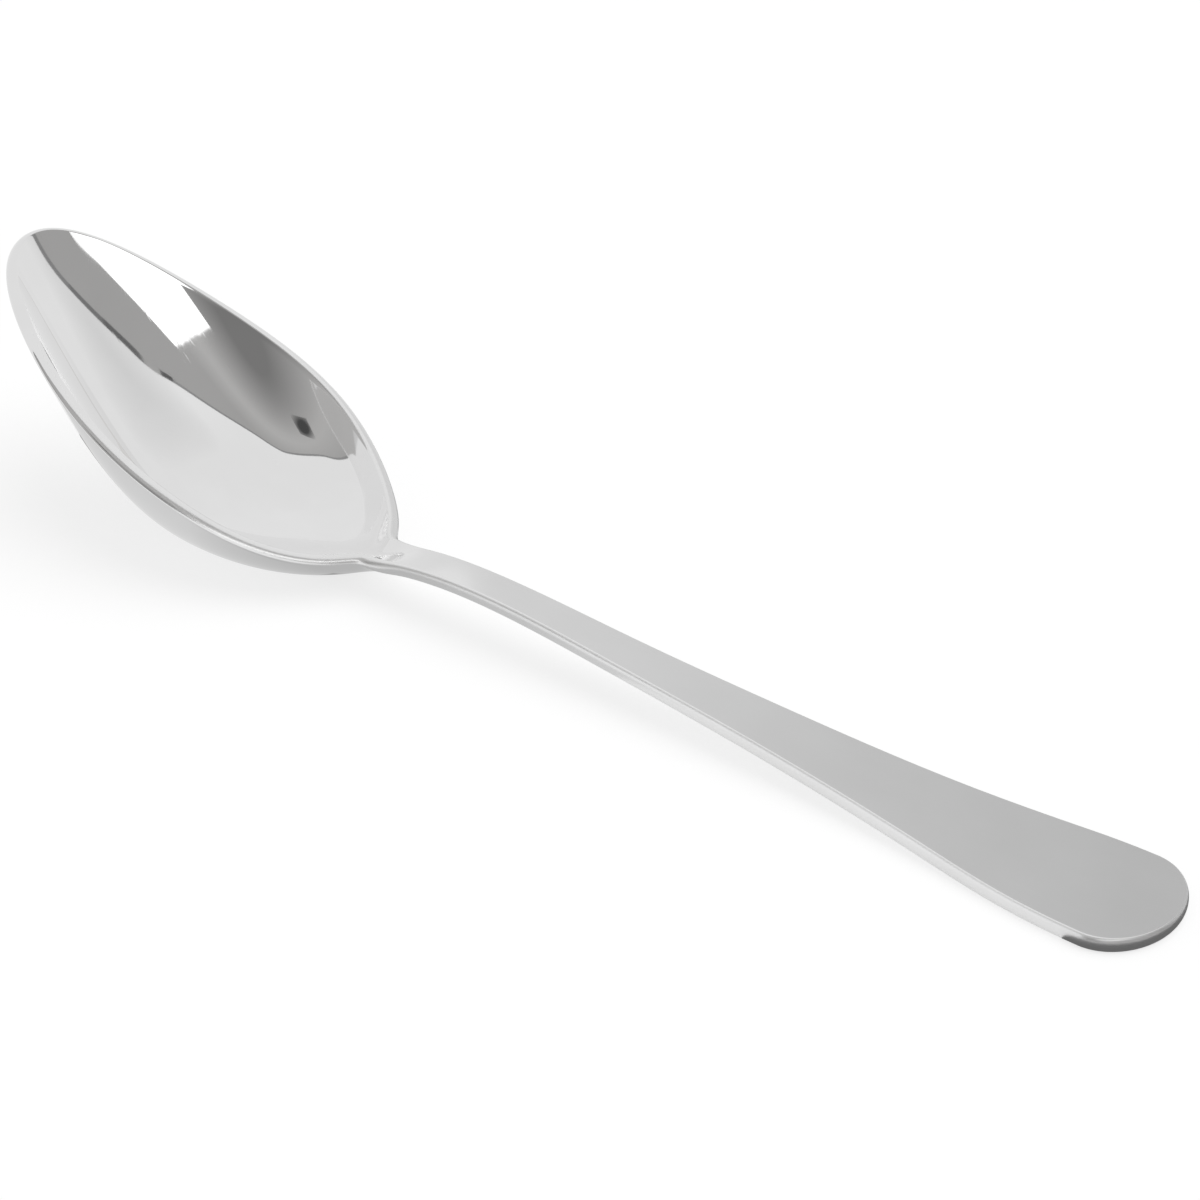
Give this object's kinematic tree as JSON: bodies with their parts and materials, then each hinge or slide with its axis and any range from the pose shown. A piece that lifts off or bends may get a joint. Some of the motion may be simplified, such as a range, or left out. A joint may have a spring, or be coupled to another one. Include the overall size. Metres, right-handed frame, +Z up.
{
  "type": "teaspoon",
  "caption": "Plain one-piece stainless teaspoon: egg-shaped bowl, narrow neck and a flat handle that widens to a rounded end.",
  "frame": {"origin": "middle of the bounding box's base, on the table plane that the spoon lies on", "axes": "+X along the spoon toward the bowl's tip, +Y across it, +Z up out of the bowl's open side"},
  "size_m": [0.1408, 0.0308, 0.0249],
  "materials": {
    "polished_steel": "polished bowl and neck, slightly satin handle"
  },
  "bodies": {
    "root": {"spoon": "polished_steel"}
  },
  "joints": []
}
